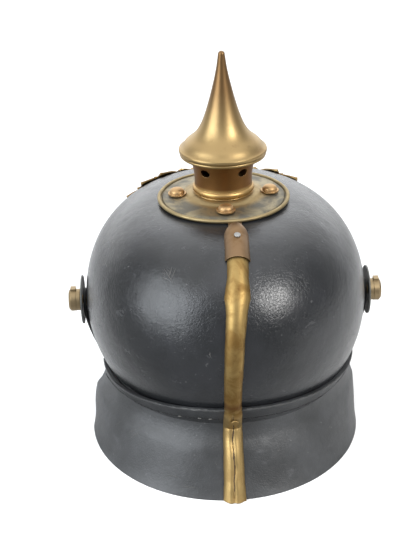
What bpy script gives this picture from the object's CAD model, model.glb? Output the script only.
import bpy
import bmesh
import math
import random
from mathutils import Matrix, Vector
from mathutils.bvhtree import BVHTree


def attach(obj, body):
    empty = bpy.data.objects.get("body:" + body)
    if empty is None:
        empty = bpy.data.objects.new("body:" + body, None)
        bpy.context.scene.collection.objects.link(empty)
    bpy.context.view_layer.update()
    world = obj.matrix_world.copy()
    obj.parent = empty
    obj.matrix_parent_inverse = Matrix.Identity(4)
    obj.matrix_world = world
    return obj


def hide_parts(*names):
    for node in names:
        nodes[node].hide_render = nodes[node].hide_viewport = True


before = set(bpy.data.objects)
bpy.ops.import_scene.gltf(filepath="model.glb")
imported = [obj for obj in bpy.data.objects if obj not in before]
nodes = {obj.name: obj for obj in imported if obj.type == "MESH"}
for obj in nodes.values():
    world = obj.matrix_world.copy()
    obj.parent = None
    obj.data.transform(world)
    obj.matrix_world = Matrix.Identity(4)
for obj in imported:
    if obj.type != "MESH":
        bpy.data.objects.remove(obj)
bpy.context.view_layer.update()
print("frame loaded, nodes:", len(nodes))


# Small helpers

def addObject(name, data):
    obj = bpy.data.objects.new(name, data)
    bpy.context.scene.collection.objects.link(obj)
    return obj


def smoothFaces(obj):
    for polygon in obj.data.polygons:
        polygon.use_smooth = True


def makeObject(name, verts, faces):
    mesh = bpy.data.meshes.new(name)
    mesh.from_pydata(verts, [], faces)
    mesh.update()
    obj = addObject(name, mesh)
    smoothFaces(obj)
    return obj


def giveMaterial(obj, material):
    obj.data.materials.clear()
    obj.data.materials.append(material)


def dress(obj, finish, body, replaced=()):
    # Finish of a piece, the body that it rides on, and the CAD nodes that it stands for
    giveMaterial(obj, finishes[finish])
    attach(obj, body)
    if replaced:
        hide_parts(*replaced)


def bakeModifiers(obj):
    graph = bpy.context.evaluated_depsgraph_get()
    mesh = bpy.data.meshes.new_from_object(obj.evaluated_get(graph))
    obj.modifiers.clear()
    obj.data = mesh


def treeOf(mesh):
    return BVHTree.FromPolygons([v.co for v in mesh.vertices], [p.vertices for p in mesh.polygons])


def smoothstep(low, high, value):
    share = min(max((value - low) / (high - low), 0.0), 1.0)
    return share * share * (3 - 2 * share)


def tableValue(table, value):
    # Value of a table of pairs, its first numbers rising, at a place between them
    for (lowKey, lowValue), (highKey, highValue) in zip(table, table[1:]):
        if value <= highKey:
            share = (value - lowKey) / (highKey - lowKey)
            return lowValue + (highValue - lowValue) * min(max(share, 0.0), 1.0)
    return table[-1][1]


def ripple(waves, place):
    # Sum of sine waves, each given by its size, turns and start
    return sum(size * math.sin(place * turns + start) for size, turns, start in waves)


def polar(center, radius, degrees):
    angle = math.radians(degrees)
    return center[0] + radius * math.cos(angle), center[1] + radius * math.sin(angle)


def newMaterial(name):
    material = bpy.data.materials.new(name)
    material.use_nodes = True
    nodeTree = material.node_tree
    nodeTree.nodes.clear()
    output = nodeTree.nodes.new("ShaderNodeOutputMaterial")
    shader = nodeTree.nodes.new("ShaderNodeBsdfPrincipled")
    nodeTree.links.new(shader.outputs["BSDF"], output.inputs["Surface"])
    return material, nodeTree, shader


edgeLook = {"samples": 6, "turns": (0.995, 0.8)}


class NodeMaker:
    # Short names for the nodes that the finishes below share
    def __init__(self, tree, coordinates="Object"):
        self.tree = tree
        coords = tree.nodes.new("ShaderNodeTexCoord")
        self.place = coords.outputs[coordinates]

    def link(self, a, b):
        self.tree.links.new(a, b)

    def stretched(self, scale):
        mapping = self.tree.nodes.new("ShaderNodeMapping")
        mapping.inputs["Scale"].default_value = scale
        self.link(self.place, mapping.inputs["Vector"])
        return mapping.outputs["Vector"]

    def along(self, axis):
        axes = self.tree.nodes.new("ShaderNodeSeparateXYZ")
        self.link(self.place, axes.inputs["Vector"])
        return axes.outputs[axis]

    def axisDistance(self):
        flat = self.stretched((1, 1, 0))
        length = self.tree.nodes.new("ShaderNodeVectorMath")
        length.operation = "LENGTH"
        self.link(flat, length.inputs[0])
        return length.outputs["Value"]

    def noise(self, scale, detail, rough, vector=None, distortion=0.0):
        node = self.tree.nodes.new("ShaderNodeTexNoise")
        node.inputs["Scale"].default_value = scale
        node.inputs["Detail"].default_value = detail
        node.inputs["Roughness"].default_value = rough
        node.inputs["Distortion"].default_value = distortion
        self.link(vector or self.place, node.inputs["Vector"])
        return node.outputs["Fac"]

    def cellEdges(self, scale, vector):
        node = self.tree.nodes.new("ShaderNodeTexVoronoi")
        node.feature = "DISTANCE_TO_EDGE"
        node.inputs["Scale"].default_value = scale
        self.link(vector, node.inputs["Vector"])
        return node.outputs["Distance"]

    def spread(self, value, low, high, toLow=0.0, toHigh=1.0):
        node = self.tree.nodes.new("ShaderNodeMapRange")
        node.interpolation_type = "SMOOTHSTEP"
        node.inputs["From Min"].default_value = low
        node.inputs["From Max"].default_value = high
        node.inputs["To Min"].default_value = toLow
        node.inputs["To Max"].default_value = toHigh
        self.link(value, node.inputs["Value"])
        return node.outputs["Result"]

    def math(self, how, a, b):
        node = self.tree.nodes.new("ShaderNodeMath")
        node.operation = how
        for index, value in enumerate((a, b)):
            if isinstance(value, (int, float)):
                node.inputs[index].default_value = value
            else:
                self.link(value, node.inputs[index])
        return node.outputs["Value"]

    def part(self, value, amount):
        return self.math("MULTIPLY", value, amount)

    def mixed(self, amount, first, second):
        node = self.tree.nodes.new("ShaderNodeMix")
        node.data_type = "RGBA"
        for socket, value in ((node.inputs["A"], first), (node.inputs["B"], second)):
            if isinstance(value, tuple):
                socket.default_value = (*value, 1)
            else:
                self.link(value, socket)
        self.link(amount, node.inputs["Factor"])
        return node.outputs["Result"]

    def bump(self, height, strength, distance, under=None):
        node = self.tree.nodes.new("ShaderNodeBump")
        node.inputs["Strength"].default_value = strength
        node.inputs["Distance"].default_value = distance
        self.link(height, node.inputs["Height"])
        if under is not None:
            self.link(under, node.inputs["Normal"])
        return node.outputs["Normal"]

    def edges(self, radius):
        # 1 on sharp edges and 0 on faces, from a rounded normal against the true one
        rounded = self.tree.nodes.new("ShaderNodeBevel")
        rounded.samples = edgeLook["samples"]
        rounded.inputs["Radius"].default_value = radius
        geometry = self.tree.nodes.new("ShaderNodeNewGeometry")
        dot = self.tree.nodes.new("ShaderNodeVectorMath")
        dot.operation = "DOT_PRODUCT"
        self.link(rounded.outputs["Normal"], dot.inputs[0])
        self.link(geometry.outputs["Normal"], dot.inputs[1])
        return self.spread(dot.outputs["Value"], *edgeLook["turns"]), rounded.outputs["Normal"]


# Camera, matched to the photograph

cameraSet = {
    "place": (0.03027, 0.66704, 0.427),
    "turn": 1.5,
    "down": 26.55,
    "roll": 1.38,
    "focalPixels": 1150,
    "imageHeight": 547,
    "sensor": 36,
    "nearest": 0.01,
}


def makeCamera():
    turn, down, roll = (math.radians(cameraSet[k]) for k in ("turn", "down", "roll"))
    ahead = Vector((-math.cos(down) * math.sin(turn), -math.cos(down) * math.cos(turn), -math.sin(down)))
    right = Vector((-math.cos(turn), math.sin(turn), 0))
    up = right.cross(ahead)
    rolledRight = right * math.cos(roll) - up * math.sin(roll)
    rolledUp = up * math.cos(roll) + right * math.sin(roll)
    data = bpy.data.cameras.new("photoCamera")
    data.sensor_fit = "VERTICAL"
    data.sensor_height = cameraSet["sensor"]
    data.lens = cameraSet["sensor"] * cameraSet["focalPixels"] / cameraSet["imageHeight"]
    data.clip_start = cameraSet["nearest"]
    camera = addObject("photoCamera", data)
    axes = Matrix((rolledRight, rolledUp, -ahead)).transposed()
    camera.matrix_world = Matrix.Translation(cameraSet["place"]) @ axes.to_4x4()
    bpy.context.scene.camera = camera


makeCamera()
print("camera made")


# Floor, lamps and world

studio = {
    "floorSize": 3.0,
    "floorSeen": (0.92, 0.92, 0.92),
    "floorFar": (0.68, 0.68, 0.68),
    "floorNear": (0.26, 0.26, 0.26),
    "floorSlant": 0.5,
    "floorShade": (0.02, 0.2),
    "roomColor": (0.97, 0.985, 1.0),
    "roomBase": 0.38,
    "roomGlows": [
        # axis, from, to, strength
        ("Y", -0.25, -0.95, 2.05),
        ("Z", 0.35, 0.95, 0.5),
    ],
    "lamps": [
        # name, place, aim, size across, size up, power, color
        ("windowLeft", (0.84, 0.50, 0.56), (0.0, 0.05, 0.12), 0.85, 0.8, 13.0, (0.90, 0.95, 1.0)),
        ("windowRight", (-0.60, 0.58, 0.68), (0.0, 0.05, 0.12), 0.3, 0.26, 6.5, (1.0, 0.99, 0.97)),
        ("ceilingPanel", (0.0, 0.0, 1.6), (0.0, 0.0, 0.1), 2.4, 2.4, 15.0, (1.0, 1.0, 1.0)),
    ],
}


def clearTree(owner):
    owner.use_nodes = True
    owner.node_tree.nodes.clear()
    return owner.node_tree


def seenOrLit(tree, seen, lit, outputType):
    # One shader for what the camera sees, and another for the light that the helmet gets
    rays = tree.nodes.new("ShaderNodeLightPath")
    mix = tree.nodes.new("ShaderNodeMixShader")
    output = tree.nodes.new(outputType)
    tree.links.new(rays.outputs["Is Camera Ray"], mix.inputs["Fac"])
    tree.links.new(lit.outputs[0], mix.inputs[1])
    tree.links.new(seen.outputs[0], mix.inputs[2])
    tree.links.new(mix.outputs["Shader"], output.inputs["Surface"])


def makeFloor():
    half = studio["floorSize"]
    corners = [(-half, -half, 0), (half, -half, 0), (half, half, 0), (-half, half, 0)]
    floor = makeObject("floor", corners, [(0, 1, 2, 3)])
    material = bpy.data.materials.new("paperFloor")
    tree = clearTree(material)
    seen = tree.nodes.new("ShaderNodeBsdfDiffuse")
    seen.inputs["Color"].default_value = (*studio["floorSeen"], 1)
    bounce = tree.nodes.new("ShaderNodeBsdfDiffuse")
    maker = NodeMaker(tree)
    slant = maker.math("ADD", maker.along("Y"), maker.part(maker.along("X"), studio["floorSlant"]))
    shade = maker.spread(slant, *studio["floorShade"])
    maker.link(maker.mixed(shade, studio["floorFar"], studio["floorNear"]), bounce.inputs["Color"])
    seenOrLit(tree, seen, bounce, "ShaderNodeOutputMaterial")
    giveMaterial(floor, material)


def makeLamps():
    for name, place, aim, across, tall, power, color in studio["lamps"]:
        data = bpy.data.lights.new(name, "AREA")
        data.shape = "RECTANGLE"
        data.size = across
        data.size_y = tall
        data.energy = power
        data.color = color
        lamp = addObject(name, data)
        lamp.location = place
        lamp.rotation_euler = (Vector(aim) - Vector(place)).to_track_quat("-Z", "Y").to_euler()


def makeWorld():
    # A white sweep behind the helmet and a pale ceiling, with a dimmer room on the camera's side
    world = bpy.data.worlds.new("paleRoom")
    bpy.context.scene.world = world
    tree = clearTree(world)
    maker = NodeMaker(tree, "Generated")
    total = studio["roomBase"]
    for axis, low, high, strength in studio["roomGlows"]:
        total = maker.math("ADD", maker.spread(maker.along(axis), low, high, 0.0, strength), total)
    soft = tree.nodes.new("ShaderNodeBackground")
    soft.inputs["Color"].default_value = (*studio["roomColor"], 1)
    maker.link(total, soft.inputs["Strength"])
    white = tree.nodes.new("ShaderNodeBackground")
    white.inputs["Color"].default_value = (1, 1, 1, 1)
    seenOrLit(tree, white, soft, "ShaderNodeOutputWorld")
    bpy.context.scene.view_settings.view_transform = "Standard"


makeFloor()
makeLamps()
makeWorld()
print("studio made")


# Finishes

leatherLook = {
    "clouds": {"detail": 5, "rough": 0.6, "range": (0.35, 0.7), "roughness": 0.12},
    "scuffs": {"detail": 8, "rough": 0.7, "range": (0.58, 0.74), "roughness": 0.18, "stretch": (1, 1, 2.2)},
    "specks": {"detail": 2, "rough": 0.5, "range": (0.70, 0.78)},
    "cracks": {"range": (0.0, 0.09), "stretch": (1, 1, 1.3), "lift": 0.0003},
    "grain": {"detail": 3, "rough": 0.6, "lift": 0.0004},
    "ripples": {"finer": 3, "detail": 3, "rough": 0.5, "depth": 0.35, "lift": 0.0008},
    "swells": {"depth": 0.6, "lift": 0.0016},
}


def lacqueredLeather(name, facts):
    material, tree, shader = newMaterial(name)
    maker = NodeMaker(tree)
    clouds, scuffing, specking, cracking, graining, ripples, swells = leatherLook.values()
    edge, rounded = maker.edges(facts["edgeRadius"])
    broad = maker.noise(facts["cloudScale"], clouds["detail"], clouds["rough"])
    stretched = maker.stretched(scuffing["stretch"])
    scuffs = maker.noise(facts["scuffScale"], scuffing["detail"], scuffing["rough"], stretched)
    scuffs = maker.spread(scuffs, *scuffing["range"])
    specks = maker.noise(facts["speckScale"], specking["detail"], specking["rough"])
    specks = maker.spread(specks, *specking["range"])
    color = maker.mixed(maker.spread(broad, *clouds["range"]), facts["dark"], facts["light"])
    color = maker.mixed(maker.part(scuffs, facts["scuffAmount"]), color, facts["worn"])
    color = maker.mixed(maker.part(specks, facts["speckAmount"]), color, facts["dust"])
    color = maker.mixed(maker.part(edge, facts["edgeAmount"]), color, facts["worn"])
    maker.link(color, shader.inputs["Base Color"])
    rough = maker.math("ADD", facts["rough"], maker.part(scuffs, scuffing["roughness"]))
    rough = maker.math("ADD", rough, maker.part(broad, clouds["roughness"]))
    maker.link(rough, shader.inputs["Roughness"])
    shader.inputs["IOR"].default_value = facts["ior"]
    cracks = maker.cellEdges(facts["crackScale"], maker.stretched(cracking["stretch"]))
    grain = maker.noise(facts["grainScale"], graining["detail"], graining["rough"])
    fine = maker.noise(facts["cloudScale"] * ripples["finer"], ripples["detail"], ripples["rough"])
    cracked = maker.spread(cracks, *cracking["range"])
    normal = maker.bump(cracked, facts["crackDepth"], cracking["lift"], rounded)
    normal = maker.bump(grain, facts["grainDepth"], graining["lift"], normal)
    normal = maker.bump(fine, ripples["depth"], ripples["lift"], normal)
    normal = maker.bump(broad, swells["depth"], swells["lift"], normal)
    maker.link(normal, shader.inputs["Normal"])
    return material


brassLook = {
    "patches": {"detail": 6, "rough": 0.65, "distortion": 0.6},
    "fine": {
        "detail": 6, "rough": 0.7, "range": (0.55, 0.75), "roughness": 0.08, "depth": 0.25, "lift": 0.0003,
    },
    "dents": {"coarser": 0.6, "detail": 2, "rough": 0.5, "depth": 0.35, "lift": 0.0009},
}


def agedBrass(name, facts):
    material, tree, shader = newMaterial(name)
    shader.inputs["Metallic"].default_value = 1.0
    maker = NodeMaker(tree)
    patching, fining, denting = brassLook.values()
    edge, rounded = maker.edges(facts["edgeRadius"])
    bent = patching["distortion"]
    patches = maker.noise(facts["patchScale"], patching["detail"], patching["rough"], distortion=bent)
    patches = maker.spread(patches, facts["patchLow"], facts["patchHigh"])
    fine = maker.noise(facts["fineScale"], fining["detail"], fining["rough"])
    color = maker.mixed(patches, facts["clean"], facts["tarnish"])
    stained = maker.spread(fine, *fining["range"], 0.0, facts["stainAmount"])
    color = maker.mixed(stained, color, facts["stain"])
    color = maker.mixed(maker.part(edge, facts["edgeAmount"]), color, facts["rubbed"])
    if "toneHeights" in facts:
        tone = maker.spread(maker.along("Z"), *facts["toneHeights"], 0.0, facts["toneAmount"])
        color = maker.mixed(tone, color, facts["tone"])
    if "bandHeights" in facts:
        low, middle, high = facts["bandHeights"]
        height = maker.along("Z")
        band = maker.math("MULTIPLY", maker.spread(height, low, middle), maker.spread(height, high, middle))
        color = maker.mixed(maker.part(band, facts["bandAmount"]), color, facts["band"])
    for radii, tone in (("ringRadii", "ring"), ("rimRadii", "rim")):
        if radii in facts:
            ring = maker.spread(maker.axisDistance(), *facts[radii], 0.0, facts["ringAmount"])
            color = maker.mixed(ring, color, facts[tone])
    maker.link(color, shader.inputs["Base Color"])
    rough = maker.math("ADD", facts["rough"], maker.part(patches, facts["roughMore"]))
    maker.link(maker.math("ADD", rough, maker.part(fine, fining["roughness"])), shader.inputs["Roughness"])
    dents = maker.noise(facts["patchScale"] * denting["coarser"], denting["detail"], denting["rough"])
    normal = maker.bump(fine, fining["depth"], fining["lift"], rounded)
    normal = maker.bump(dents, denting["depth"], denting["lift"], normal)
    maker.link(normal, shader.inputs["Normal"])
    return material


threadLook = {"scale": 900, "detail": 3, "rough": 0.6, "range": (0.3, 0.7), "depth": 0.4, "lift": 0.0003}


def plainThread(name, first, second, rough):
    material, tree, shader = newMaterial(name)
    maker = NodeMaker(tree)
    twist = maker.noise(threadLook["scale"], threadLook["detail"], threadLook["rough"])
    twisted = maker.spread(twist, *threadLook["range"])
    maker.link(maker.mixed(twisted, first, second), shader.inputs["Base Color"])
    maker.link(maker.bump(twist, threadLook["depth"], threadLook["lift"]), shader.inputs["Normal"])
    shader.inputs["Roughness"].default_value = rough
    return material


shellLeatherFacts = {
    "edgeRadius": 0.0006,
    "cloudScale": 22,
    "scuffScale": 55,
    "speckScale": 420,
    "ior": 1.5,
    "dark": (0.010, 0.011, 0.012),
    "light": (0.020, 0.021, 0.024),
    "worn": (0.10, 0.10, 0.105),
    "dust": (0.2, 0.2, 0.2),
    "scuffAmount": 0.3,
    "speckAmount": 0.25,
    "edgeAmount": 0.6,
    "rough": 0.16,
    "crackScale": 480,
    "crackDepth": 0.16,
    "grainScale": 1100,
    "grainDepth": 0.35,
}
visorLeatherFacts = dict(
    shellLeatherFacts,
    rough=0.38,
    scuffAmount=0.6,
    dark=(0.026, 0.027, 0.028),
    light=(0.058, 0.06, 0.063),
    speckAmount=0.4,
)
strapLeatherFacts = dict(shellLeatherFacts, rough=0.45, light=(0.03, 0.028, 0.026))
edgeLeatherFacts = dict(shellLeatherFacts, rough=0.65, dark=(0.05, 0.05, 0.05), light=(0.16, 0.16, 0.155))
cockadeFacts = dict(shellLeatherFacts, rough=0.42, dark=(0.075, 0.078, 0.072), light=(0.13, 0.133, 0.124))
linerLeatherFacts = dict(
    shellLeatherFacts,
    rough=0.6,
    dark=(0.16, 0.085, 0.04),
    light=(0.3, 0.18, 0.095),
    worn=(0.42, 0.3, 0.19),
    dust=(0.1, 0.06, 0.03),
    crackDepth=0.12,
)
spikeBrassFacts = {
    "edgeRadius": 0.0004,
    "patchScale": 26,
    "patchLow": 0.5,
    "patchHigh": 0.78,
    "fineScale": 180,
    "clean": (0.335, 0.235, 0.108),
    "tarnish": (0.25, 0.145, 0.06),
    "stain": (0.14, 0.08, 0.035),
    "rubbed": (0.55, 0.4, 0.2),
    "stainAmount": 0.25,
    "edgeAmount": 0.4,
    "rough": 0.38,
    "roughMore": 0.12,
}
coneBrassFacts = dict(spikeBrassFacts, toneHeights=(0.194, 0.222), toneAmount=0.9, tone=(0.17, 0.095, 0.042))
plateBrassFacts = dict(
    spikeBrassFacts,
    clean=(0.27, 0.23, 0.15),
    tarnish=(0.15, 0.14, 0.115),
    stain=(0.2, 0.13, 0.05),
    rough=0.46,
    stainAmount=0.5,
    patchScale=70,
    patchLow=0.4,
    patchHigh=0.62,
    ringRadii=(0.028, 0.0235),
    rimRadii=(0.0388, 0.0395),
    ringAmount=0.75,
    ring=(0.36, 0.26, 0.12),
    rim=(0.34, 0.26, 0.13),
)
neckBrassFacts = dict(
    spikeBrassFacts,
    clean=(0.2, 0.1, 0.035),
    tarnish=(0.09, 0.04, 0.015),
    stain=(0.05, 0.025, 0.012),
    stainAmount=0.4,
    toneHeights=(0.1588, 0.1568),
    toneAmount=0.9,
    tone=(0.46, 0.3, 0.12),
)
spineBrassFacts = dict(
    spikeBrassFacts,
    clean=(0.33, 0.225, 0.085),
    tarnish=(0.2, 0.115, 0.035),
    patchScale=60,
    patchLow=0.42,
    patchHigh=0.68,
    stainAmount=0.5,
    stain=(0.12, 0.055, 0.02),
    rough=0.44,
    bandHeights=(0.0555, 0.0588, 0.0632),
    band=(0.13, 0.06, 0.022),
    bandAmount=0.8,
    toneHeights=(0.0540, 0.0500),
    toneAmount=0.55,
    tone=(0.48, 0.34, 0.15),
)
slideBrassFacts = dict(
    spikeBrassFacts,
    clean=(0.21, 0.135, 0.075),
    tarnish=(0.15, 0.08, 0.03),
    patchScale=60,
    rough=0.45,
)
studBrassFacts = dict(spikeBrassFacts, clean=(0.42, 0.27, 0.13), tarnish=(0.26, 0.12, 0.06), rough=0.46)
postBrassFacts = dict(
    spikeBrassFacts,
    clean=(0.28, 0.21, 0.12),
    tarnish=(0.1, 0.07, 0.045),
    stainAmount=0.6,
    rough=0.42,
)
eagleBrassFacts = dict(
    spikeBrassFacts,
    clean=(0.3, 0.2, 0.085),
    tarnish=(0.2, 0.12, 0.05),
    stainAmount=0.4,
    rough=0.4,
)
steelFacts = dict(
    spikeBrassFacts,
    clean=(0.3, 0.3, 0.29),
    tarnish=(0.16, 0.15, 0.14),
    stain=(0.2, 0.16, 0.12),
    rubbed=(0.6, 0.6, 0.6),
)

finishes = {
    "leather_shell": lacqueredLeather("shellLeather", shellLeatherFacts),
    "visor": lacqueredLeather("visorLeather", visorLeatherFacts),
    "strap": lacqueredLeather("strapLeather", strapLeatherFacts),
    "worn_edge": lacqueredLeather("wornLeatherEdge", edgeLeatherFacts),
    "spike_cone": agedBrass("spikeBrass", coneBrassFacts),
    "trim": agedBrass("trimBrass", spikeBrassFacts),
    "base_plate": agedBrass("basePlateBrass", plateBrassFacts),
    "spike_neck": agedBrass("neckBrass", neckBrassFacts),
    "rear_spine": agedBrass("spineBrass", spineBrassFacts),
    "vent_slide": agedBrass("slideBrass", slideBrassFacts),
    "base_studs": agedBrass("studBrass", studBrassFacts),
    "side_posts": agedBrass("postBrass", postBrassFacts),
    "cockade": lacqueredLeather("cockadePaint", cockadeFacts),
    "liner": lacqueredLeather("linerLeather", linerLeatherFacts),
    "steel": agedBrass("rivetSteel", steelFacts),
    "eagle": agedBrass("eagleBrass", eagleBrassFacts),
    "dark_thread": plainThread("waxedThread", (0.004, 0.004, 0.004), (0.014, 0.014, 0.014), 0.75),
    "pale_thread": plainThread("paleThread", (0.1, 0.1, 0.09), (0.24, 0.23, 0.21), 0.7),
    "scuff": plainThread("leatherScuff", (0.045, 0.045, 0.044), (0.105, 0.1, 0.095), 0.7),
    "dirt": plainThread("crustedDirt", (0.02, 0.011, 0.005), (0.08, 0.045, 0.02), 0.8),
}
finishNodes = {
    "leather_shell": ["leather_shell"],
    "visor": ["rear_visor", "front_visor"],
    "trim": ["front_visor_trim", "post_nuts", "strap_eyelets", "strap_buckles", "front_plate", "plate_loops"],
    "base_plate": ["base_plate"],
    "base_studs": ["base_studs"],
    "liner": ["stud_washers", "sweatband", "liner_tongues", "plate_wedges"],
    "spike_neck": ["spike_neck"],
    "spike_cone": ["spike_cone"],
    "rear_spine": ["rear_spine", "spine_rivet"],
    "vent_slide": ["vent_slide"],
    "steel": ["slide_rivet"],
    "side_posts": ["side_posts"],
    "cockade": ["cockade_left", "cockade_right"],
    "strap": ["chinstrap_left", "chinstrap_right"],
}
for finishName, nodeNames in finishNodes.items():
    for nodeName in nodeNames:
        giveMaterial(nodes[nodeName], finishes[finishName])
print("finishes given")


# Shapes shared by the dressed pieces

domeArcs = {
    "oval": 0.857143,
    "widest": 0.083,
    "tuck": (0.0335, 0.0715),
    "wall": (0.037, 0.068),
    "wallTurn": 20,
    "shoulder": (0.0445175, 0.0857361, 0.060),
    "shoulderTurn": 85,
    "crown": (-0.423111, 0.570791),
    "slopeStep": 0.0004,
}


def domeReach(height, grow):
    # Distance of the grown dome from its axis, front to back, at a height
    center, radius = domeArcs["tuck"] if height < domeArcs["widest"] else domeArcs["wall"]
    radius += grow
    rise = height - domeArcs["widest"]
    if rise < radius * math.sin(math.radians(domeArcs["wallTurn"])):
        return center + math.sqrt(radius**2 - rise**2)
    center, middle, radius = domeArcs["shoulder"]
    radius += grow
    rise = height - middle
    if rise < radius * math.sin(math.radians(domeArcs["shoulderTurn"])):
        return center + math.sqrt(radius**2 - rise**2)
    middle, radius = domeArcs["crown"]
    return math.sqrt(max((radius + grow) ** 2 - (height - middle) ** 2, 1e-9))


def domeNormal(place):
    across, along, height = place
    step = domeArcs["slopeStep"]
    slope = (domeReach(height + step, 0) - domeReach(height - step, 0)) / (2 * step)
    reach = math.hypot(across / domeArcs["oval"], along)
    return Vector((across / domeArcs["oval"] ** 2 / reach, along / reach, -slope)).normalized()


def frontOfDome(across, height, grow):
    # Point in front of the dome, seen straight from the front, at a distance off its leather
    reach = domeReach(height, 0)
    along = -math.sqrt(max(reach**2 - (across / domeArcs["oval"]) ** 2, 1e-7))
    place = Vector((across, along, height))
    return place + domeNormal(place) * grow


beadFacts = {"shares": (-1.0, -0.8, -0.4, 0.0, 0.4, 0.8, 1.0), "blunt": 0.04, "sides": 8}


class MeshParts:
    # Gathers grids and rings into the mesh of one piece
    def __init__(self):
        self.verts = []
        self.faces = []

    def slab(self, top, bottom):
        # Closed sheet between two grids of points
        rows, columns = len(top), len(top[0])
        first = len(self.verts)
        for grid in (top, bottom):
            for row in grid:
                self.verts.extend(row)
        under = first + rows * columns

        def spot(start, row, column):
            return start + row * columns + column

        for row in range(rows - 1):
            for column in range(columns - 1):
                a, b, c, d = ((row, column), (row, column + 1), (row + 1, column + 1), (row + 1, column))
                self.faces.append(tuple(spot(first, *corner) for corner in (a, b, c, d)))
                self.faces.append(tuple(spot(under, *corner) for corner in (d, c, b, a)))
        border = [(0, c) for c in range(columns)] + [(r, columns - 1) for r in range(1, rows)]
        border += [(rows - 1, c) for c in range(columns - 2, -1, -1)] + [(r, 0) for r in range(rows - 2, 0, -1)]
        for here, after in zip(border, border[1:] + border[:1]):
            corners = ((first, after), (first, here), (under, here), (under, after))
            self.faces.append(tuple(spot(start, *place) for start, place in corners))

    def tube(self, rings, capped=True):
        # Closed skin through rings of points
        count = len(rings[0])
        first = len(self.verts)
        for ring in rings:
            self.verts.extend(ring)
        for step in range(len(rings) - 1):
            low = first + step * count
            for index in range(count):
                after = (index + 1) % count
                self.faces.append((low + index, low + after, low + count + after, low + count + index))
        if capped:
            self.faces.append(tuple(first + index for index in reversed(range(count))))
            last = first + (len(rings) - 1) * count
            self.faces.append(tuple(last + index for index in range(count)))

    def loop(self, rings):
        # Skin through rings of points that closes on itself
        count = len(rings[0])
        first = len(self.verts)
        self.tube(rings, capped=False)
        last = first + (len(rings) - 1) * count
        for index in range(count):
            after = (index + 1) % count
            self.faces.append((last + index, last + after, first + after, first + index))

    def bead(self, place, along, up, length, width, height):
        # Small pill that lies on a surface, such as a stitch
        count = beadFacts["sides"]
        side = along.cross(up).normalized()
        rings = []
        for share in beadFacts["shares"]:
            size = math.sqrt(max(1 - share**2, beadFacts["blunt"]))
            middle = place + along * (share * length / 2)
            ring = []
            for index in range(count):
                turn = index * 2 * math.pi / count
                out = side * (math.cos(turn) * width / 2) + up * (math.sin(turn) * height / 2)
                ring.append(middle + out * size)
            rings.append(ring)
        self.tube(rings)

    def finish(self, name, body, finish, replaced=(), slotName=None):
        obj = makeObject(name, [tuple(v) for v in self.verts], self.faces)
        mesh = bmesh.new()
        mesh.from_mesh(obj.data)
        bmesh.ops.recalc_face_normals(mesh, faces=mesh.faces)
        mesh.to_mesh(obj.data)
        mesh.free()
        smoothFaces(obj)
        dress(obj, finish, body, replaced)
        return obj


def sharpen(obj, degrees):
    # Keeps true edges crisp between smooth faces
    obj.data.set_sharp_from_angle(angle=math.radians(degrees))


def punchHoles(obj, punch):
    # Cuts the punch's solids out of the piece, and removes the punch
    modifier = obj.modifiers.new("holes", "BOOLEAN")
    modifier.operation = "DIFFERENCE"
    modifier.object = punch
    bakeModifiers(obj)
    bpy.data.objects.remove(punch)


# Base plate and neck

def lathe(parts, profile, steps, wobble, turns):
    # Turned sheet metal with slight dents; the profile is a closed loop of radius and height
    rings = []
    for step in range(steps):
        angle = 2 * math.pi * step / steps
        dent = wobble * sum(math.sin(angle * turn + turn * 1.7) for turn in turns) / len(turns)
        ring = []
        for radius, height in profile:
            grow = radius + dent * smoothstep(*plateFacts["dentRadii"], radius)
            ring.append(Vector((math.cos(angle) * grow, math.sin(angle) * grow, height + 0.6 * dent)))
        rings.append(ring)
    parts.loop(rings)


def arcPoints(center, radius, start, end, count):
    return [polar(center, radius, start + (end - start) * step / count) for step in range(count + 1)]


plateFacts = {
    "rim": ((0.04033, 0.14785), 0.00118, -50, 165, 12),
    "groove": [(0.03905, 0.14742), (0.03865, 0.14735), (0.03825, 0.14792), (0.0378, 0.14848)],
    "field": [(0.0340, 0.14886), (0.0290, 0.14940), (0.0252, 0.14984), (0.0242, 0.15000)],
    "boss": [
        (0.02345, 0.15030), (0.0226, 0.15098), (0.0216, 0.15158), (0.0206, 0.15196), (0.0196, 0.15213),
        (0.0162, 0.15213),
    ],
    "under": [(0.0162, 0.15093), (0.0184, 0.15093), (0.0220, 0.14890), (0.0378, 0.14672), (0.0405, 0.14653)],
    "steps": 160,
    "dents": 0.00009,
    "dentTurns": (5, 8, 13),
    "dentRadii": (0.016, 0.03),
}


def makeBasePlate():
    facts = plateFacts
    profile = arcPoints(*facts["rim"]) + facts["groove"] + facts["field"] + facts["boss"] + facts["under"]
    parts = MeshParts()
    lathe(parts, profile, facts["steps"], facts["dents"], facts["dentTurns"])
    plate = parts.finish("basePlateSheet", "helmet", "base_plate", ("base_plate",), "brass")
    sharpen(plate, 60)


neckFacts = {
    "foot": (0.0187, 0.15218),
    "bead": ((0.0170, 0.15446), 0.00225, -75, 62, 12),
    "waist": [
        (0.0180, 0.1572), (0.01785, 0.1592), (0.01795, 0.1620), (0.01825, 0.1650), (0.01875, 0.1680),
        (0.0194, 0.1706), (0.0200, 0.1726), (0.0203, 0.1740), (0.0203, 0.1766),
    ],
    "bore": [(0.0189, 0.1766), (0.0189, 0.1740), (0.0166, 0.1650), (0.0162, 0.1600), (0.0162, 0.15218)],
    "steps": 144,
    "holeHeight": 0.1686,
    "holeHalfWidth": 0.0034,
    "holeHalfHeight": 0.0025,
    "holeReach": (0.010, 0.026),
    "holeSides": 28,
    "holeTurns": (51.5, 127.0, 198.0, 270.0, 342.0),
    "lip": ((0.02555, 0.17665), 0.00115, 0, 345, 15),
}


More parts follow.
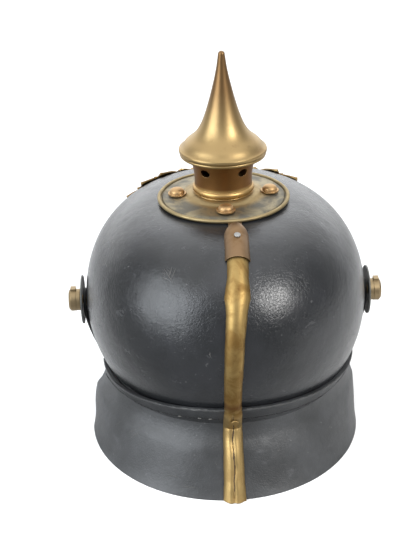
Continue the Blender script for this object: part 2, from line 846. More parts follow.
def makeNeck():
    facts = neckFacts
    parts = MeshParts()
    profile = [facts["foot"]] + arcPoints(*facts["bead"]) + facts["waist"] + facts["bore"]
    lathe(parts, profile, facts["steps"], 0.0, (3,))
    neck = parts.finish("neckTube", "helmet", "spike_neck", ("spike_neck",), "brass")
    punches = MeshParts()
    for turn in facts["holeTurns"]:
        angle = math.radians(turn)
        out = Vector((math.cos(angle), math.sin(angle), 0))
        side = Vector((-out.y, out.x, 0))
        rings = []
        for reach in facts["holeReach"]:
            ring = []
            for step in range(facts["holeSides"]):
                spin = 2 * math.pi * step / facts["holeSides"]
                across = side * math.cos(spin) * facts["holeHalfWidth"]
                up = Vector((0, 0, facts["holeHeight"] + math.sin(spin) * facts["holeHalfHeight"]))
                ring.append(out * reach + across + up)
            rings.append(ring)
        punches.tube(rings)
    punch = makeObject("neckHolePunch", [tuple(v) for v in punches.verts], punches.faces)
    punchHoles(neck, punch)
    giveMaterial(neck, finishes["spike_neck"])
    sharpen(neck, 45)


def makeConeLip():
    # Rolled edge of the spike's foot
    parts = MeshParts()
    lathe(parts, arcPoints(*neckFacts["lip"]), neckFacts["steps"], 0.0, (3,))
    lip = parts.finish("spikeLipRoll", "helmet", "trim")


makeBasePlate()
makeNeck()
makeConeLip()
print("base plate and neck made")


# Rear visor

visorFacts = {
    "fold": 0.047,
    "drops": [
        (-0.095, 0.0010), (-0.085, 0.0030), (-0.072, 0.0042), (-0.045, 0.0040), (-0.01, 0.0036),
        (0.02, 0.0042), (0.04, 0.0052), (0.06, 0.0062), (0.08, 0.0068), (0.09, 0.0058), (0.1, 0.005),
    ],
    "gripHeights": (0.018, 0.046),
    "lowest": 0.03,
    "standOff": [(-0.09, 0.0), (0.02, 0.0), (0.05, 0.0009), (0.072, 0.0017), (0.083, 0.0008), (0.1, 0.0)],
}


def visorPlace(place):
    # The visor hangs a little low on its flange, most on the wearer's left, and stands off the shell there
    facts = visorFacts
    drop = tableValue(facts["drops"], place.x)
    height = place.z * (1 - drop / facts["fold"]) if place.z < facts["fold"] else place.z - drop
    weight = smoothstep(*facts["gripHeights"], place.z)
    reach = math.hypot(place.x / domeArcs["oval"], place.y)
    lowest = facts["lowest"]
    follow = domeReach(max(height, lowest), 0) - domeReach(max(place.z, lowest), 0)
    scale = 1 + weight * (follow + tableValue(facts["standOff"], place.x)) / reach
    return Vector((place.x * scale, place.y * scale, height))


def makeRearVisor():
    source = nodes["rear_visor"].data
    verts = [tuple(visorPlace(vert.co)) for vert in source.vertices]
    obj = makeObject("rearVisorLeather", verts, [tuple(polygon.vertices) for polygon in source.polygons])
    dress(obj, "visor", "helmet", ("rear_visor",))
    sharpen(obj, 35)
    return obj


visorTrees = {1: treeOf(makeRearVisor().data), -1: treeOf(nodes["front_visor"].data)}  # rear, front
print("rear visor made")


# Rear spine

spineFacts = {
    "leanHeight": 0.058,
    "lean": 3.0,
    "clearance": 0.0003,
    "visorClearance": 0.00045,
    "shoulderTurns": range(65, 19, -3),
    "wallTurns": range(17, -1, -3),
    "tuckTurns": (0, -3, -6, -9, -12),
    "overSeam": [
        (0.1031, 0.0652), (0.1029, 0.0635), (0.1029, 0.0618), (0.1029, 0.0600), (0.1026, 0.0580),
        (0.1021, 0.0560),
    ],
    "seam": (0.1016, 0.0542),
    "visorTop": 0.0525,
    "visorStep": 0.0020,
    "footHeight": 0.0004,
    "sheet": 0.0009,
    "rise": 0.0042,
    "acrossCount": 24,
    "halfWidths": [
        (0.0, 0.0068), (0.01, 0.0063), (0.03, 0.0059), (0.054, 0.0053), (0.06, 0.0051), (0.09, 0.0056),
        (0.108, 0.0058), (0.117, 0.0063), (0.1235, 0.0075), (0.128, 0.0069), (0.132, 0.0062), (0.15, 0.0062),
    ],
    "sideShifts": [
        (0.0, 0.0012), (0.04, 0.0010), (0.055, 0.0009), (0.075, 0.0017), (0.1, 0.0017), (0.124, 0.0005),
        (0.135, 0.0),
    ],
    "seamHeights": (0.0525, 0.0575),
    "visorRise": 0.00025,
    "footFlat": 0.25,
    "footFlatHeight": 0.006,
    "creaseDepth": 0.0011,
    "creaseWidth": 0.0011,
    "widthWaves": ((0.012, 420, 0), (0.01, 1130, 1)),
    "creaseWaves": ((0.0004, 260, 0), (0.00025, 610, 1)),
    "dirtWidths": (0.00022, 0.00062),
    "dirtShares": (-1, -0.3, 0.3, 1),
    "dirtStand": (0, 0.00012, 0.00003),
    "dirtThick": (0, 0.0004, 0.0001),
    "dirtLowest": 0.001,
    "stripTurn": 77.0,
    "hookTop": 0.0011,
    "hookBack": (0.1128, 0.0072),
    "hookCover": 0.003,
}
slideFacts = {
    "half": 0.0072,
    "sheet": 0.00045,
    "rise": 0.0055,
    "turns": (87.2, 60.0),
    "steps": 40,
    "noseShare": 0.34,
    "noseBlunt": 0.03,
    "noseRise": 0.55,
    "noseLift": 0.0013,
    "liftShares": (0.22, 0.4),
    "tailFlare": 0.03,
}


def spinePath():
    # Side view of the spine's foot line: pairs of distance back and height, from the slide down
    facts = spineFacts
    back, middle, radius = domeArcs["shoulder"]
    arcs = [(facts["shoulderTurns"], (back, middle), radius)]
    for turns, arc in (("wallTurns", "wall"), ("tuckTurns", "tuck")):
        back, radius = domeArcs[arc]
        arcs.append((facts[turns], (back, domeArcs["widest"]), radius))
    points = []
    for turns, center, radius in arcs:
        points += [polar(center, radius + facts["clearance"], turn) for turn in turns]
    points += facts["overSeam"] + [facts["seam"]]
    height = facts["visorTop"]
    while height > 0.0002:
        hit = visorTrees[1].ray_cast(Vector((0, 0.3, height)), Vector((0, -1, 0)))[0]
        if hit is not None:
            points.append((hit.y + facts["visorClearance"], height))
        height -= facts["visorStep"]
    (y0, z0), (y1, z1) = points[-2], points[-1]
    foot = facts["footHeight"]
    return points + [(y1 + (y1 - y0) * (z1 - foot) / (z0 - z1), foot)]


def leanedPlace(back, height):
    # Point of the spine's plane, which leans above the seam
    lean = math.radians(spineFacts["lean"])
    start = spineFacts["leanHeight"]
    rise = height - start
    if rise < 0:
        return Vector((0, back, height))
    return Vector((-rise * math.sin(lean), back, start + rise * math.cos(lean)))


def channel(parts, path, shape, sheet):
    # Half-round sheet along a path; shape gives half width, rise, side shift and crease for a place on it
    facts = spineFacts
    lean = math.radians(facts["lean"])
    outerRings, innerRings = [], []
    for index, (back, height) in enumerate(path):
        before = path[max(index - 1, 0)]
        after = path[min(index + 1, len(path) - 1)]
        direction = Vector((after[0] - before[0], after[1] - before[1])).normalized()
        outward = (-direction.y, direction.x)
        leaned = smoothstep(facts["leanHeight"] - 0.001, facts["leanHeight"] + 0.001, height)
        sideways = Vector((math.cos(lean * leaned), 0, math.sin(lean * leaned)))
        origin = leanedPlace(back, height)
        up = (leanedPlace(back + outward[0] * 0.001, height + outward[1] * 0.001) - origin).normalized()
        half, rise, shift, crease, creaseAt = shape(index, height)
        radius = (half**2 + rise**2) / (2 * rise)
        spread = math.asin(min(half / radius, 1.0))
        if rise > half:
            spread = math.pi - spread
        outer, inner = [], []
        for step in range(facts["acrossCount"] + 1):
            turn = spread * (2 * step / facts["acrossCount"] - 1)
            across = radius * math.sin(turn)
            lift = radius * math.cos(turn) - (radius - rise)
            dent = crease * math.exp(-(((across - creaseAt) / facts["creaseWidth"]) ** 2))
            outer.append(origin + sideways * (across + shift) + up * (lift - dent))
            innerLift = max((radius - sheet) * math.cos(turn) - (radius - rise), 0.0)
            innerAcross = across * (radius - sheet) / radius + shift
            inner.append(origin + sideways * innerAcross + up * min(innerLift, lift - dent * 0.5))
        outerRings.append(outer)
        innerRings.append(inner)
        if height <= facts["footHeight"]:
            # The foot ends level, just above what the helmet stands on
            fall = Vector((0, direction.x, direction.y))
            for ring in (outer, inner):
                ring[:] = [spot + fall * ((spot.z - facts["footHeight"]) / -fall.z) for spot in ring]
    parts.slab(outerRings, innerRings)
    return outerRings


def spineShape(_, height):
    facts = spineFacts
    half = tableValue(facts["halfWidths"], height) * (1 + ripple(facts["widthWaves"], height))
    onVisor = 1 - smoothstep(*facts["seamHeights"], height)
    rise = facts["rise"] * (1 + 0.02 * math.sin(height * 300 + 2)) + facts["visorRise"] * onVisor
    rise *= 1 - facts["footFlat"] * (1 - smoothstep(0.0, facts["footFlatHeight"], height))
    shift = tableValue(facts["sideShifts"], height)
    depth = facts["creaseDepth"] * onVisor * (0.75 + 0.25 * math.sin(height * 500))
    return half, rise, shift, depth, ripple(facts["creaseWaves"], height)


def makeSpine():
    facts = spineFacts
    parts = MeshParts()
    path = spinePath()
    rings = channel(parts, path, spineShape, facts["sheet"])
    spine = parts.finish("spineChannel", "helmet", "rear_spine", ("rear_spine",), "brass")
    sharpen(spine, 40)
    dirt = MeshParts()
    rng = random.Random(11)
    middle = facts["acrossCount"] // 2
    top, bottom = [], []
    for (_, height), ring in zip(path, rings):
        if height > facts["visorTop"] or height < facts["dirtLowest"]:
            continue
        across = (ring[middle + 1] - ring[middle - 1]).normalized()
        place = ring[middle] + across * ripple(facts["creaseWaves"], height)
        width = rng.uniform(*facts["dirtWidths"])
        row = [place + across * width * share + Vector(facts["dirtStand"]) for share in facts["dirtShares"]]
        top.append(row)
        bottom.append([spot - Vector(facts["dirtThick"]) for spot in row])
    dirt.slab(top, bottom)
    dirt.finish("spineCreaseDirt", "helmet", "dirt")


def slideShape(index, _):
    facts = slideFacts
    share = index / facts["steps"]
    nose = max(1 - share / facts["noseShare"], 0.0)
    taper = math.sqrt(max(1 - nose**2, facts["noseBlunt"]))
    tail = 1 + facts["tailFlare"] * smoothstep(0.7, 1.0, share)
    rise = facts["noseRise"] + (1 - facts["noseRise"]) * taper
    return facts["half"] * taper * tail, facts["rise"] * rise, 0.0, 0.0, 0.0


def makeSlide():
    facts = slideFacts
    first, last = facts["turns"]
    back, middle, shoulder = domeArcs["shoulder"]
    path = []
    for step in range(facts["steps"] + 1):
        share = step / facts["steps"]
        lift = facts["noseLift"] * (1 - smoothstep(*facts["liftShares"], share))
        radius = shoulder + spineFacts["clearance"] + lift
        path.append(polar((back, middle), radius, first + (last - first) * share))
    parts = MeshParts()
    channel(parts, path, slideShape, facts["sheet"])
    slide = parts.finish("ventSlideSheet", "vent_slide", "vent_slide", ("vent_slide",), "brass")
    sharpen(slide, 40)


def copyOfFaces(nodeName, name, finish, body, keep):
    # Copy of those faces of a fixed node that stay visible beside the piece that replaces it
    source = nodes[nodeName].data
    kept, faces, lookup = [], [], {}
    for polygon in source.polygons:
        if all(keep(source.vertices[index].co) for index in polygon.vertices):
            face = []
            for index in polygon.vertices:
                if index not in lookup:
                    lookup[index] = len(kept)
                    kept.append(tuple(source.vertices[index].co))
                face.append(lookup[index])
            faces.append(face)
    obj = makeObject(name, kept, faces)
    dress(obj, finish, body)
    sharpen(obj, 35)


def overChannel(place):
    back, middle, _ = domeArcs["shoulder"]
    return math.atan2(place.z - middle, place.y - back) > math.radians(spineFacts["stripTurn"])


def underVisor(place):
    back, height = spineFacts["hookBack"]
    return place.y < hookReach and (place.z < spineFacts["hookTop"] or (place.y < back and place.z < height))


hookReach = spinePath()[-1][0] + spineFacts["hookCover"]
makeSpine()
makeSlide()
copyOfFaces("rear_spine", "spineStrip", "vent_slide", "helmet", overChannel)
copyOfFaces("rear_spine", "spineHook", "rear_spine", "helmet", underVisor)
print("spine made")


# Stitches and worn edges of the visors

stitchFacts = {
    "spacing": 0.003,
    "length": 0.0023,
    "width": 0.0008,
    "height": 0.0005,
    "below": 0.0082,
    "starts": {1: 0.018, -1: 0.026},
    "scatter": 0.00012,
    "tilt": 0.12,
    "holeRadius": 0.0005,
    "holeHeight": 0.00016,
    "spinePlace": 0.001,
    "spineHalf": 0.0072,
    "paleReach": (0.0, 0.034),
    "paleShare": 0.6,
}
flangeFacts = {
    "height": 0.0475,
    "slopes": {1: (0.014, 0.011 / 0.091), -1: (0.021, 0.0095 / 0.084)},
    "oval": (0.0857, 0.1),
    "start": (0.085, 0.098),
    "steps": 720,
    "innerReach": 0.07,
    "longestGap": 0.006,
}


def flangeEdgeHeight(side, across, back):
    # Height of the flange's top edge, on the rear (+1) or front (-1) visor, at a distance from the middle
    start, slope = flangeFacts["slopes"][side]
    drop = tableValue(visorFacts["drops"], across) if side > 0 else 0.0
    return flangeFacts["height"] + (back - start) * slope - drop


def flangeLine(side, below, first, inward=0.0):
    # Points and normals round a visor's flange, a distance below its edge, with even spacing
    facts = flangeFacts
    tree = visorTrees[side]
    halfAcross, halfBack = facts["oval"]
    firstAcross, firstBack = facts["start"]
    raw = []
    for step in range(facts["steps"] + 1):
        turn = math.pi * step / facts["steps"]
        outward = Vector((math.cos(turn) * halfAcross, side * math.sin(turn) * halfBack, 0)).normalized()
        back = abs(math.sin(turn)) * firstBack
        across = math.cos(turn) * firstAcross
        place = None
        for _ in range(3):
            height = flangeEdgeHeight(side, across, back) - below
            hit, normal, _, _ = tree.ray_cast(Vector((0, 0, height)) + outward * 0.3, -outward)
            if hit is None or hit.xy.length < facts["innerReach"]:
                place = None
                break
            place, back, across = hit, abs(hit.y), hit.x
        if place is not None and back > first:
            raw.append((place - normal * inward, normal))
    return raw


def evenly(raw, spacing):
    spots = []
    travelled = 0.0
    for (place, normal), (after, _) in zip(raw, raw[1:]):
        gap = (after - place).length
        if gap > flangeFacts["longestGap"]:
            continue
        travelled += gap
        if travelled >= spacing:
            travelled = 0.0
            spots.append((after, normal, (after - place).normalized()))
    return spots


def makeStitches():
    facts = stitchFacts
    rng = random.Random(5)
    dark, pale, holes = MeshParts(), MeshParts(), MeshParts()
    wide = facts["holeRadius"] * 2
    paleStart, paleEnd = facts["paleReach"]
    for side, first in facts["starts"].items():
        for place, normal, direction in evenly(flangeLine(side, facts["below"], first), facts["spacing"]):
            if side > 0 and abs(place.x - facts["spinePlace"]) < facts["spineHalf"]:
                continue
            shift = Vector((rng.uniform(-1, 1), rng.uniform(-1, 1), rng.uniform(-1, 1)))
            nearSpine = side > 0 and paleStart < place.x < paleEnd
            thread = pale if nearSpine and rng.random() < facts["paleShare"] else dark
            tilted = (direction + Vector((0, 0, rng.uniform(-facts["tilt"], facts["tilt"])))).normalized()
            middle = place + shift * facts["scatter"]
            thread.bead(middle, tilted, normal, facts["length"], facts["width"], facts["height"])
            hole = place + direction * facts["spacing"] / 2
            holes.bead(hole, direction, normal, wide, wide, facts["holeHeight"])
    dark.finish("flangeStitchesDark", "helmet", "dark_thread")
    pale.finish("flangeStitchesPale", "helmet", "pale_thread")
    holes.finish("stitchHoles", "helmet", "dark_thread")


edgeFacts = {
    "strips": (("rearFlangeEdge", 1, 0.0155), ("frontFlangeEdge", -1, 0.0235)),
    "below": 0.0004,
    "sunk": 0.00035,
    "spacing": 0.0008,
    "longestGap": 0.004,
    "spineHalf": 0.0045,
    "radius": 0.00042,
    "radiusSpread": (0.75, 1.35),
    "wander": (-0.0001, 0.00018),
    "sides": 7,
    "roughness": (0.8, 1.25),
}


def makeWornEdges():
    facts = edgeFacts
    up = Vector((0, 0, 1))
    rng = random.Random(9)
    for name, side, first in facts["strips"]:
        spots = evenly(flangeLine(side, facts["below"], first, facts["sunk"]), facts["spacing"])
        parts = MeshParts()
        rings = []
        last = None
        for place, normal, _ in spots:
            blocked = side > 0 and abs(place.x - stitchFacts["spinePlace"]) < facts["spineHalf"]
            if rings and (blocked or (place - last).length > facts["longestGap"]):
                if len(rings) > 2:
                    parts.tube(rings)
                rings = []
            if blocked:
                continue
            last = place
            size = facts["radius"] * rng.uniform(*facts["radiusSpread"])
            middle = place + up * rng.uniform(*facts["wander"])
            ring = []
            for index in range(facts["sides"]):
                turn = index * 2 * math.pi / facts["sides"]
                rise = math.sin(turn) * size * rng.uniform(*facts["roughness"])
                ring.append(middle + normal * math.cos(turn) * size + up * rise)
            rings.append(ring)
        if len(rings) > 2:
            parts.tube(rings)
        parts.finish(name, "helmet", "worn_edge")


makeStitches()
makeWornEdges()
print("stitches made")


# Scuffs and scratches, placed by where the photograph shows them

scuffFacts = {
    "photoMiddle": (205, 273.5),
    "steps": 6,
    "wander": 0.25,
    "widths": (0.00014, 0.00026),
    "taperSpread": (0.6, 1.2),
    "above": 0.00006,
    "thick": 0.00008,
}


def photoRay(across, down):
    # From the camera through a place in the photograph, in pixels
    camera = bpy.context.scene.camera
    focal = cameraSet["focalPixels"]
    middleAcross, middleDown = scuffFacts["photoMiddle"]
    local = Vector(((across - middleAcross) / focal, (middleDown - down) / focal, -1))
    return camera.matrix_world.translation, (camera.matrix_world.to_3x3() @ local).normalized()


scuffMarks = {
    "leather_shell": [
        ((164, 269), (168, 275), (173, 283)), ((172, 267), (169, 277)), ((176, 268), (171, 280)),
        ((162, 277), (168, 280)), ((104, 260), (108, 268)), ((209, 354), (211, 357)), ((210, 352), (210, 355)),
        ((186, 297), (189, 306)), ((257, 324), (258, 326)), ((203, 238), (214, 241)), ((166, 268), (171, 274)),
        ((162, 272), (166, 276)),
    ],
    "rear_visor": [
        ((128, 433), (143, 426)), ((131, 438), (139, 432)), ((106, 447), (109, 451)), ((168, 474), (179, 478)),
        ((181, 486), (197, 488)), ((258, 439), (256, 447)), ((116, 425), (121, 421)), ((300, 446), (303, 441)),
        ((277, 452), (280, 449)), ((215, 462), (217, 465)), ((327, 430), (331, 425)), ((243, 486), (249, 482)),
    ],
}


def makeScuffs():
    facts = scuffFacts
    steps = facts["steps"]
    rng = random.Random(3)
    parts = MeshParts()
    for nodeName, marks in scuffMarks.items():
        tree = visorTrees[1] if nodeName == "rear_visor" else treeOf(nodes[nodeName].data)
        for mark in marks:
            spots = []
            for (x0, y0), (x1, y1) in zip(mark, mark[1:]):
                for step in range(steps):
                    share = step / (steps - 1)
                    down = y0 + (y1 - y0) * share + rng.uniform(-facts["wander"], facts["wander"])
                    origin, direction = photoRay(x0 + (x1 - x0) * share, down)
                    hit, normal, _, _ = tree.ray_cast(origin, direction)
                    if hit is not None:
                        spots.append((hit, normal))
            if len(spots) < 3:
                continue
            width = rng.uniform(*facts["widths"])
            top, bottom = [], []
            for index, (place, normal) in enumerate(spots):
                after = spots[min(index + 1, len(spots) - 1)][0]
                before = spots[max(index - 1, 0)][0]
                side = (after - before).cross(normal)
                side = side.normalized() if side.length > 0 else Vector((1, 0, 0))
                taper = math.sin(math.pi * (index + 0.4) / (len(spots) - 0.2))
                taper *= rng.uniform(*facts["taperSpread"])
                edges = [place + side * width * taper * step + normal * facts["above"] for step in (-1, 0, 1)]
                top.append(edges)
                bottom.append([edge - normal * facts["thick"] for edge in edges])
            parts.slab(top, bottom)
    parts.finish("leatherScuffs", "helmet", "scuff")


makeScuffs()
print("scuffs made")


# Sweatband and liner

def thickened(obj, thickness):
    # Gives a single sheet its thickness, on the side away from its normals
    modifier = obj.modifiers.new("thickness", "SOLIDIFY")
    modifier.thickness = thickness
    modifier.offset = -1
    bakeModifiers(obj)


bandFacts = {
    "foot": (0.09059, 0.0456),
    "top": (0.09674, 0.068),
    "leather": 0.0016,
    "steps": 180,
    "rows": 8,
    "edge": 0.012,
    "waves": 0.0004,
    "reachWaves": ((0.6, 7, 0), (0.4, 17, 1)),
    "girth": 0.56,
    "stitchGap": 0.004,
    "stitchShare": 0.12,
    "stitch": (0.0026, 0.0006, 0.0006),
}


def bandPoint(angle, share, inward):
    # Place on the band at a share of its height, sunk inward from its outer face
    footReach, footHeight = bandFacts["foot"]
    topReach, topHeight = bandFacts["top"]
    waves = bandFacts["waves"] * share
    reach = footReach + (topReach - footReach) * share - inward
    reach -= waves * (1 + ripple(bandFacts["reachWaves"], angle))
    height = footHeight + (topHeight - footHeight) * share - waves * (1 + math.sin(angle * 5 + 2))
    return Vector((math.cos(angle) * reach * domeArcs["oval"], math.sin(angle) * reach, height))


def makeSweatband():
    facts = bandFacts
    leather = facts["leather"]
    shares = [row / facts["rows"] for row in range(facts["rows"] + 1)]
    profile = [(share, 0.0) for share in shares]
    profile += [(1 + facts["edge"], leather * 0.3), (1 + facts["edge"], leather * 0.7)]
    profile += [(share, leather) for share in reversed(shares)]
    parts = MeshParts()
    rings = []
    for step in range(facts["steps"]):
        angle = 2 * math.pi * step / facts["steps"]
        rings.append([bandPoint(angle, share, inward) for share, inward in profile])
    parts.loop(rings)
    parts.finish("sweatbandLeather", "helmet", "liner", ("sweatband",), "brown_leather")
    thread = MeshParts()
    count = int(facts["girth"] / facts["stitchGap"])
    for step in range(count):
        angle = 2 * math.pi * step / count
        place = bandPoint(angle, facts["stitchShare"], leather)
        after = bandPoint(angle + 0.02, facts["stitchShare"], leather)
        inward = Vector((-math.cos(angle), -math.sin(angle), 0.1)).normalized()
        thread.bead(place, (after - place).normalized(), inward, *facts["stitch"])
    thread.finish("sweatbandStitches", "helmet", "pale_thread")


petalFacts = {
    "count": 9,
    "depth": 0.0082,
    "leather": 0.0014,
    "foot": 0.061,
    "slitStart": 0.058,
    "slit": 0.003,
    "tip": 0.0203,
    "holePlace": 0.026,
    "holeRadius": 0.002,
    "lift": 0.0014,
    "ringRows": 8,
    "petalRows": 27,
    "columns": 14,
    "corner": (0.005, 0.0035),
    "heights": (0.09, 0.1477),
}


def linerAtHeight(angle, height, depth):
    reach = domeReach(height, -depth)
    plan = reach / math.hypot(math.cos(angle) / domeArcs["oval"], math.sin(angle))
    return Vector((math.cos(angle) * plan, math.sin(angle) * plan, height))


def linerHeight(angle, plan, depth):
    wanted = plan * math.hypot(math.cos(angle) / domeArcs["oval"], math.sin(angle))
    low, high = petalFacts["heights"]
    for _ in range(30):
        middle = (low + high) / 2
        if domeReach(middle, -depth) > wanted:
            low = middle
        else:
            high = middle
    return low


def petalSheet(index, mesh):
    # One petal: a share of the ring, then a tongue between slits with rounded corners and a hole
    facts = petalFacts
    pitch = 2 * math.pi / facts["count"]
    start = math.pi / 2 + pitch * index
    lift = facts["lift"] * (0.7 + 0.3 * math.sin(index * 2.1))
    depth, ringRows = facts["depth"], facts["ringRows"]
    cornerLength, cornerInset = facts["corner"]
    rows = []
    for row in range(ringRows + facts["petalRows"] + 1):
        line = []
        for column in range(facts["columns"] + 1):
            share = column / facts["columns"]
            angle = start + pitch * share
            if row < ringRows:
                high = linerHeight(angle, facts["slitStart"], depth)
                height = facts["foot"] + (high - facts["foot"]) * row / ringRows
                line.append(linerAtHeight(angle, height, depth))
                continue
            petalRow = row - ringRows
            plan = facts["slitStart"] + (facts["tip"] - facts["slitStart"]) * petalRow / facts["petalRows"]
            inset = facts["slit"] / 2 * min(petalRow / 1.5, 1.0)
            rounding = max((facts["tip"] + cornerLength - plan) / cornerLength, 0.0)
            inset += cornerInset * (1 - math.sqrt(max(1 - rounding**2, 0.0)))
            gap = math.asin(min(inset / plan, 1.0))
            angle = start + gap + (pitch - 2 * gap) * share
            height = linerHeight(angle, plan, depth) - lift * (petalRow / facts["petalRows"]) ** 2
            line.append(Vector((math.cos(angle) * plan, math.sin(angle) * plan, height)))
        rows.append(line)
    middle = start + pitch / 2
    hole = Vector((math.cos(middle), math.sin(middle))) * facts["holePlace"]
    verts = [[mesh.verts.new(place) for place in line] for line in rows]
    for low, high in zip(verts, verts[1:]):
        for column in range(len(low) - 1):
            corners = (low[column], low[column + 1], high[column + 1], high[column])
            center = sum((corner.co for corner in corners), Vector()) / 4
            if (center.xy - hole).length > facts["holeRadius"]:
                mesh.faces.new(corners)
                continue
            for corner in corners:
                away = corner.co.xy - hole
                if away.length > facts["holeRadius"] * 0.6:
                    placed = hole + away.normalized() * facts["holeRadius"]
                    corner.co.x, corner.co.y = placed


def makeLiner():
    mesh = bmesh.new()
    for index in range(petalFacts["count"]):
        petalSheet(index, mesh)
    bmesh.ops.remove_doubles(mesh, verts=mesh.verts, dist=0.00002)
    loose = [vert for vert in mesh.verts if not vert.link_faces]
    bmesh.ops.delete(mesh, geom=loose, context="VERTS")
    data = bpy.data.meshes.new("linerPetals")
    mesh.to_mesh(data)
    mesh.free()
    liner = addObject("linerPetals", data)
    thickened(liner, petalFacts["leather"])
    smoothFaces(liner)
    sharpen(liner, 50)
    dress(liner, "liner", "helmet", ("liner_tongues",))


makeSweatband()
makeLiner()
print("liner made")


# Chinstrap

strapFacts = {
    "halfWidth": 0.0075,
    "leather": 0.002,
    "round": 0.007,
    "eyeletRadius": 0.0053,
    "eyeletPlace": (0.0912, 0.078),
    "hangHeights": (0.0855, 0.078, 0.071),
    "bends": ((0.0883, 0.058), (0.0075, 0.0186)),
    "underneath": (0.0, -0.03),
    "endPlaces": (0.0002, 0.001, 0.002, 0.003, 0.0045, 0.006, 0.0075),
    "ringGap": 0.002,
    "section": [
        (-1.0, 0.35), (-0.96, 0.8), (-0.86, 1.0), (-0.80, 1.0), (-0.76, 0.78), (-0.72, 1.0), (0.0, 0.97),
    ],
    "halves": [
        # name, replaced node, side, corner, layer
        ("chinstrapLeft", "chinstrap_left", 1, 0.066, 0.0027),
        ("chinstrapRight", "chinstrap_right", -1, 0.0669, 0.005),
    ],
}


def strapLine(side, corner, layer):
    # Route of one half as a smooth spline, read back as points
    facts = strapFacts
    shoulder, (outBend, upBend) = facts["bends"]
    route = [(facts["eyeletPlace"][0], height) for height in facts["hangHeights"]]
    route += [shoulder, (corner + outBend, layer + upBend), (corner, layer), (corner - 0.02, layer)]
    route += [(across, layer) for across in facts["underneath"]]
    data = bpy.data.curves.new("strapRoute", "CURVE")
    data.dimensions = "3D"
    data.resolution_u = 10
    spline = data.splines.new("NURBS")
    spline.points.add(len(route) - 1)
    for point, (across, height) in zip(spline.points, route):
        point.co = (across * side, 0, height, 1)
    spline.order_u = 3
    spline.use_endpoint_u = True
    curve = bpy.data.objects.new("strapRoute", data)
    mesh = bpy.data.meshes.new_from_object(curve)
    points = [vert.co.copy() for vert in mesh.vertices]
    bpy.data.objects.remove(curve)
    bpy.data.curves.remove(data)
    bpy.data.meshes.remove(mesh)
    return points


def makeStrap(name, replaced, side, corner, layer):
    facts = strapFacts
    sideways = Vector((0, 1, 0))
    section = facts["section"] + [(-share, depth) for share, depth in reversed(facts["section"][:-1])]
    line = strapLine(side, corner, layer)
    lengths = [0.0]
    for before, after in zip(line, line[1:]):
        lengths.append(lengths[-1] + (after - before).length)
    total = lengths[-1]
    ends, gap = facts["endPlaces"], facts["ringGap"]
    first = ends[-1] + gap
    inner = [first + step * gap for step in range(int((total - 2 * first) / gap))]
    places = list(ends) + inner + [total - place for place in reversed(ends)]
    rings = []
    for place in places:
        index = max(i for i, value in enumerate(lengths[:-1]) if value <= place)
        share = (place - lengths[index]) / (lengths[index + 1] - lengths[index])
        middle = line[index].lerp(line[index + 1], share)
        direction = (line[min(index + 2, len(line) - 1)] - line[max(index - 1, 0)]).normalized()
        out = direction.cross(sideways).normalized()
        near = min(place, total - place)
        half = facts["halfWidth"] * (1 + 0.008 * math.sin(place * 260))
        if near < facts["round"]:
            half -= facts["round"] - math.sqrt(facts["round"] ** 2 - (facts["round"] - near) ** 2)
        thick = facts["leather"] / 2 * (1 - 0.04 * math.sin(place * 190 + 1) ** 2)
        upper = [middle + sideways * half * share + out * thick * depth for share, depth in section]
        lower = [middle + sideways * half * share - out * thick * depth for share, depth in reversed(section)]
        rings.append(upper + lower)
    parts = MeshParts()
    parts.tube(rings)
    strap = parts.finish(name, "chinstrap", "strap", (replaced,), "black_leather")
    across, height = facts["eyeletPlace"]
    bpy.ops.mesh.primitive_cylinder_add(
        vertices=40, radius=facts["eyeletRadius"], depth=0.02,
        location=(across * side, 0, height), rotation=(0, math.pi / 2, 0),
    )
    punchHoles(strap, bpy.context.object)
    giveMaterial(strap, finishes["strap"])
    sharpen(strap, 40)


for half in strapFacts["halves"]:
    makeStrap(*half)
print("chinstrap made")


# Front plate

eagleFacts = {
    "stand": 0.0016,
    "sheet": 0.0009,
    "wingPlace": 0.014,
    "wingHeights": {1: 0.0996, -1: 0.0978},
    "featherLength": 0.055,
    "featherHalf": 0.0065,
    "firstTurn": 73,
    "turnStep": 15,
    "featherShares": (0.7, 0.85, 0.93, 0.98, 1.0, 0.96, 0.89, 0.8, 0.69, 0.58),
    "tailHeight": 0.084,
    "tailLength": 0.022,
    "tailHalf": 0.0035,
    "tailCount": 7,
    "tailSpread": 12,
    "quill": (0.00045, 0.0006),
    "barbs": (0.00013, 4200),
    "scaleHeight": 0.0003,
    "wingDisc": (0.0205, 0.0205, 0.0004, 0.0004, 0.0042),
    "bodyDiscs": [
        # center, half across, half up, bulge, lift, size of its scales
        ((0, 0.097), 0.0128, 0.0198, 0.0009, 0.0006, 0.0036),
        ((0.002, 0.122), 0.0058, 0.0118, 0.0006, 0.0005, 0.0026),
        ((0.005, 0.131), 0.0064, 0.0064, 0.0007, 0.0005, 0.0020),
    ],
    "beak": ((0.008, 0.1315), (1, -0.05), 0.0114, 0.0026, 0.0006),
}


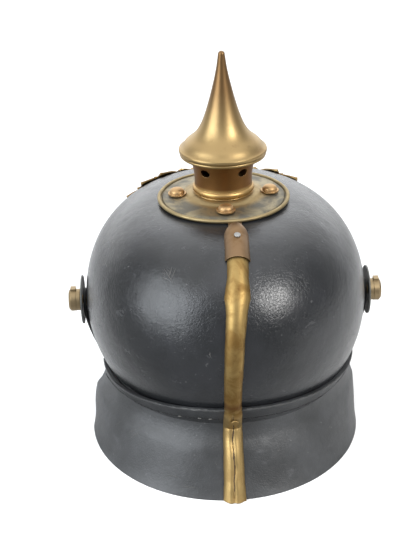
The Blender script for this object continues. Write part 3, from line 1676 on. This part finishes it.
def feather(parts, root, direction, length, half, lift):
    # One leaf-shaped feather over the dome, with a quill, slanted barbs and a curled edge
    facts = eagleFacts
    rows, columns = 34, 10
    quillHeight, quillHalf = facts["quill"]
    barbHeight, barbTurns = facts["barbs"]
    side = Vector((-direction.y, direction.x))
    top, bottom = [], []
    for row in range(rows + 1):
        share = row / rows
        width = half * max(1 - abs(2 * share - 1) ** 3.0, 0.0) ** 0.5 + 0.00012
        over, under = [], []
        for column in range(columns + 1):
            across = 2 * column / columns - 1
            spot = root + direction * (length * share) + side * (width * across)
            grow = facts["stand"] + facts["sheet"] + lift
            grow += quillHeight * math.exp(-((across * width / quillHalf) ** 2))
            slant = math.sin((share * length - abs(across) * width * 0.7) * barbTurns)
            grow += barbHeight * slant * (1 - abs(across)) ** 0.3 * smoothstep(0.0, 0.1, share)
            grow += 0.00035 * (1 - across**2) - 0.0002 * smoothstep(0.8, 1.0, share)
            over.append(frontOfDome(spot.x, spot.y, grow))
            under.append(frontOfDome(spot.x, spot.y, facts["stand"]))
        top.append(over)
        bottom.append(under)
    parts.slab(top, bottom)


def scaledDisc(parts, center, halfAcross, halfUp, bulge, lift, scales):
    # Domed oval with rows of small overlapping feathers
    facts = eagleFacts
    rings, spokes = 16, 64
    top, bottom = [], []
    for ring in range(rings + 1):
        share = max(ring / rings, 0.02)
        over, under = [], []
        for spoke in range(spokes + 1):
            turn = 2 * math.pi * spoke / spokes
            across = center[0] + math.cos(turn) * halfAcross * share
            spot = Vector((across, center[1] + math.sin(turn) * halfUp * share))
            row = (spot.y - center[1]) / scales
            shift = 0.5 if int(math.floor(row)) % 2 else 0.0
            inRow = row - math.floor(row)
            cell = abs((spot.x / scales + shift) % 1.0 - 0.5) * 2
            scale = facts["scaleHeight"] * max(1 - cell**2 - (1 - inRow) * 0.7, 0.0)
            grow = facts["stand"] + facts["sheet"] + lift + bulge * (1 - share**2) + scale * (1 - share**6)
            over.append(frontOfDome(spot.x, spot.y, grow))
            under.append(frontOfDome(spot.x, spot.y, facts["stand"]))
        top.append(over)
        bottom.append(under)
    parts.slab(top, bottom)


def makeEaglePlate():
    facts = eagleFacts
    parts = MeshParts()
    half = facts["featherHalf"]
    for side in (-1, 1):
        root = Vector((side * facts["wingPlace"], facts["wingHeights"][side]))
        for index, share in enumerate(facts["featherShares"]):
            length = facts["featherLength"] * share
            turn = math.radians(facts["firstTurn"] - facts["turnStep"] * index)
            direction = Vector((side * math.cos(turn), math.sin(turn)))
            feather(parts, root, direction, length, half, 0.00016 * (index % 3))
            feather(parts, root, direction, length * 0.62, half * 0.9, 0.0005)
            between = math.radians(facts["firstTurn"] - facts["turnStep"] * (index + 0.5))
            slanted = Vector((side * math.cos(between), math.sin(between)))
            feather(parts, root, slanted, length * 0.97, half * 0.8, 0.0)
        scaledDisc(parts, root, *facts["wingDisc"])
    root = Vector((0, facts["tailHeight"]))
    for index in range(facts["tailCount"]):
        turn = math.radians(-90 + facts["tailSpread"] * (index - (facts["tailCount"] - 1) / 2))
        direction = Vector((math.cos(turn), math.sin(turn)))
        feather(parts, root, direction, facts["tailLength"], facts["tailHalf"], 0.0001 * (index % 2))
    for disc in facts["bodyDiscs"]:
        scaledDisc(parts, *disc)
    root, direction, length, half, lift = facts["beak"]
    feather(parts, Vector(root), Vector(direction).normalized(), length, half, lift)
    plate = parts.finish("eaglePlate", "helmet", "eagle", ("front_plate",), "brass")
    sharpen(plate, 50)


makeEaglePlate()
print("front plate made")
